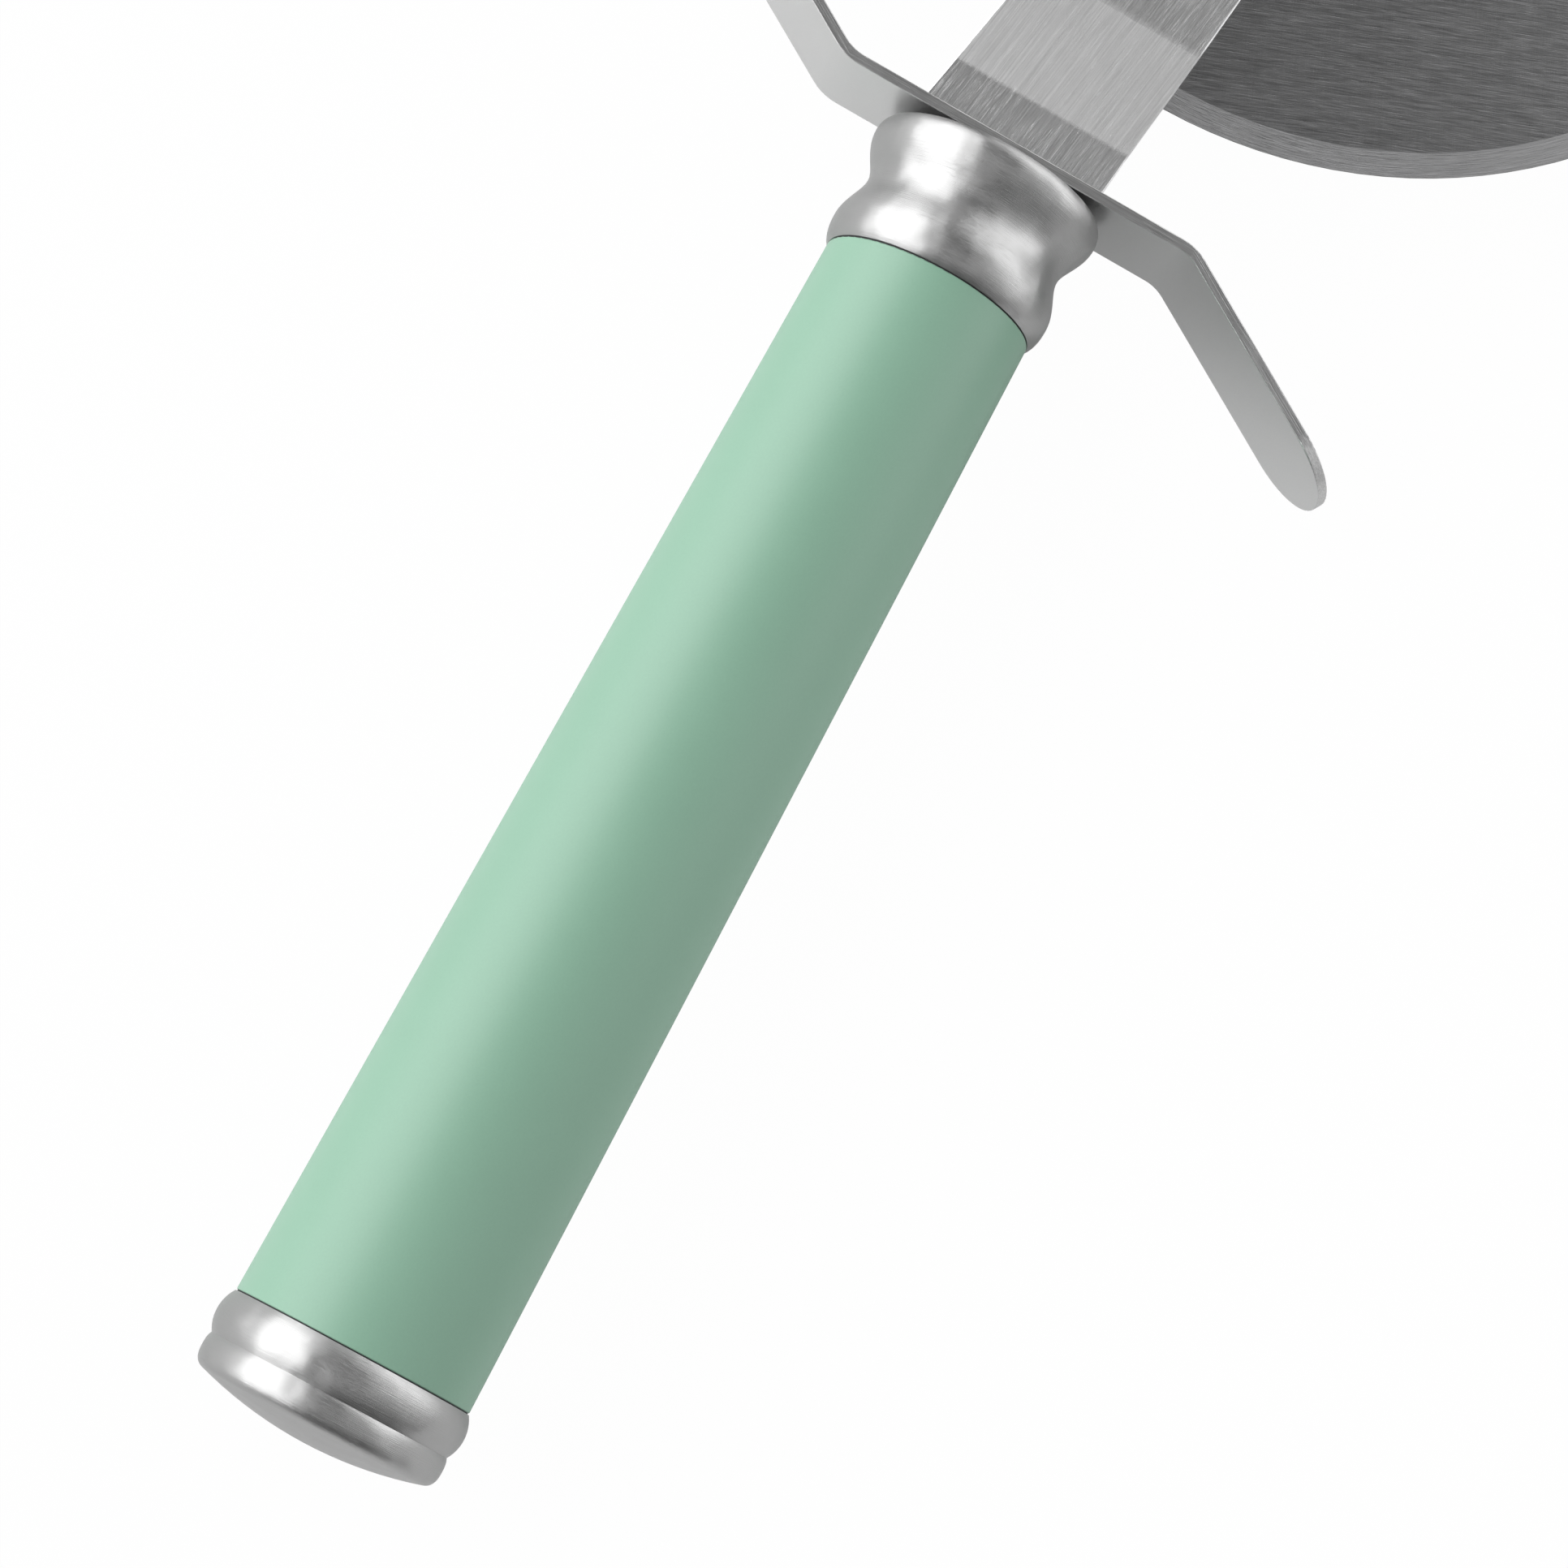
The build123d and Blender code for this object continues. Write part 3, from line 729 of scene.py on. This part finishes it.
def stand_camera(settings):
    """A camera at the photograph's viewing angle."""
    data = bpy.data.cameras.new("camera")
    data.lens = settings.lens
    camera = bpy.data.objects.new("camera", data)
    place = Vector(settings.camera_place)
    ahead = (Vector(settings.camera_aim) - place).normalized()
    upright = Vector((math.cos(settings.camera_turn), math.sin(settings.camera_turn), 0.0))
    right = ahead.cross(upright).normalized()
    axes = Matrix((right, right.cross(ahead), -ahead)).transposed()
    camera.matrix_world = Matrix.Translation(place) @ axes.to_4x4()
    bpy.context.collection.objects.link(camera)
    bpy.context.scene.camera = camera


class PIZZA_WHEEL_OT_blade(Operator):
    """Gives the disc its ground steel"""

    bl_idname = "pizza_wheel.blade"
    bl_label = "Finish Blade"
    bl_options = {"REGISTER", "UNDO"}

    def execute(self, context):
        ground_steel(context.scene.pizza_wheel.blade).cover("blade_disc")
        return {"FINISHED"}


class PIZZA_WHEEL_OT_hub(Operator):
    """Gives the hub its turned brass"""

    bl_idname = "pizza_wheel.hub"
    bl_label = "Finish Hub"
    bl_options = {"REGISTER", "UNDO"}

    def execute(self, context):
        settings = context.scene.pizza_wheel.axle
        brass = axle_turning("hub_brass", settings.brass, settings.brass_roughness, settings)
        brass.cover("hub_bush", "hub_collar")
        return {"FINISHED"}


class PIZZA_WHEEL_OT_axle(Operator):
    """Gives the axle and its nut their turned steel, and the washers their acetal"""

    bl_idname = "pizza_wheel.axle"
    bl_label = "Finish Axle"
    bl_options = {"REGISTER", "UNDO"}

    def execute(self, context):
        settings = context.scene.pizza_wheel.axle
        steel = axle_turning("axle_steel", settings.steel, settings.steel_roughness, settings)
        steel.cover("axle_pin", "axle_nut")
        white_acetal(context.scene.pizza_wheel.moulded).cover("upper_washer", "lower_washer")
        return {"FINISHED"}


class PIZZA_WHEEL_OT_arm(Operator):
    """Gives the arm its brushed steel"""

    bl_idname = "pizza_wheel.arm"
    bl_label = "Finish Arm"
    bl_options = {"REGISTER", "UNDO"}

    def execute(self, context):
        brushed_steel(context.scene.pizza_wheel.arm).cover("arm")
        return {"FINISHED"}


class PIZZA_WHEEL_OT_guard(Operator):
    """Gives the guard its satin steel with ground edges"""

    bl_idname = "pizza_wheel.guard"
    bl_label = "Finish Guard"
    bl_options = {"REGISTER", "UNDO"}

    def execute(self, context):
        satin_steel(context.scene.pizza_wheel.guard).cover("guard")
        return {"FINISHED"}


class PIZZA_WHEEL_OT_turnings(Operator):
    """Gives the bolster and the end cap their polished steel"""

    bl_idname = "pizza_wheel.turnings"
    bl_label = "Finish Bolster and Cap"
    bl_options = {"REGISTER", "UNDO"}

    def execute(self, context):
        turned_steel(context.scene.pizza_wheel.turned).cover("bolster", "end_cap")
        return {"FINISHED"}


class PIZZA_WHEEL_OT_grip(Operator):
    """Gives the grip its mint-green satin plastic"""

    bl_idname = "pizza_wheel.grip"
    bl_label = "Finish Grip"
    bl_options = {"REGISTER", "UNDO"}

    def execute(self, context):
        mint_plastic(context.scene.pizza_wheel.grip).cover("handle_sleeve")
        return {"FINISHED"}


class PIZZA_WHEEL_OT_seals(Operator):
    """Gives the seals their dark rubber"""

    bl_idname = "pizza_wheel.seals"
    bl_label = "Finish Seals"
    bl_options = {"REGISTER", "UNDO"}

    def execute(self, context):
        dark_rubber(context.scene.pizza_wheel.moulded).cover("front_seal", "rear_seal")
        return {"FINISHED"}


class PIZZA_WHEEL_OT_core(Operator):
    """Gives the pieces inside the handle their nylon and plated steel"""

    bl_idname = "pizza_wheel.core"
    bl_label = "Finish Core"
    bl_options = {"REGISTER", "UNDO"}

    def execute(self, context):
        settings = context.scene.pizza_wheel
        grey_nylon(settings.moulded).cover("core_upper", "core_lower", "bolster_insert")
        plated_steel(settings.plated).cover(
            "tang_pins", "tie_rod", "rod_pin", "clamp_washer", "spring_washer", "clamp_nut"
        )
        return {"FINISHED"}


class PIZZA_WHEEL_OT_stage(Operator):
    """Lays the floor, sets up the light and stands the camera at the photograph's angle"""

    bl_idname = "pizza_wheel.stage"
    bl_label = "Build Stage"
    bl_options = {"REGISTER", "UNDO"}

    def execute(self, context):
        settings = context.scene.pizza_wheel.stage
        lay_floor(settings)
        light_sky(settings)
        for lamp in LAMPS:
            hang_lamp(lamp, settings.light_level)
        stand_camera(settings)
        context.scene.view_settings.view_transform = "Standard"
        return {"FINISHED"}


OPERATORS = (
    PIZZA_WHEEL_OT_blade,
    PIZZA_WHEEL_OT_hub,
    PIZZA_WHEEL_OT_axle,
    PIZZA_WHEEL_OT_arm,
    PIZZA_WHEEL_OT_guard,
    PIZZA_WHEEL_OT_turnings,
    PIZZA_WHEEL_OT_grip,
    PIZZA_WHEEL_OT_seals,
    PIZZA_WHEEL_OT_core,
    PIZZA_WHEEL_OT_stage,
)


class PIZZA_WHEEL_PT_finishes(Panel):
    """Lists the finishes and the stage, and their settings"""

    bl_label = "Pizza Wheel"
    bl_idname = "PIZZA_WHEEL_PT_finishes"
    bl_space_type = "VIEW_3D"
    bl_region_type = "UI"
    bl_category = "Pizza Wheel"

    def draw(self, context):
        for operator in OPERATORS:
            self.layout.operator(operator.bl_idname)
        settings = context.scene.pizza_wheel
        for group_name in PizzaWheelSettings.__annotations__:
            group = getattr(settings, group_name)
            box = self.layout.box()
            box.label(text=settings.bl_rna.properties[group_name].name)
            for name in type(group).__annotations__:
                box.prop(group, name)


CLASSES = (
    GripSettings,
    TurnedSettings,
    ArmSettings,
    GuardSettings,
    BladeSettings,
    AxleSettings,
    PlatedSettings,
    MouldedSettings,
    StageSettings,
    PizzaWheelSettings,
    *OPERATORS,
    PIZZA_WHEEL_PT_finishes,
)


def register():
    for each in CLASSES:
        bpy.utils.register_class(each)
    bpy.types.Scene.pizza_wheel = group_setting("Pizza wheel", PizzaWheelSettings)


def unregister():
    del bpy.types.Scene.pizza_wheel
    for each in reversed(CLASSES):
        bpy.utils.unregister_class(each)


def main():
    register()
    for operator in OPERATORS:
        group, name = operator.bl_idname.split(".")
        getattr(getattr(bpy.ops, group), name)()


if __name__ == "__main__":
    main()
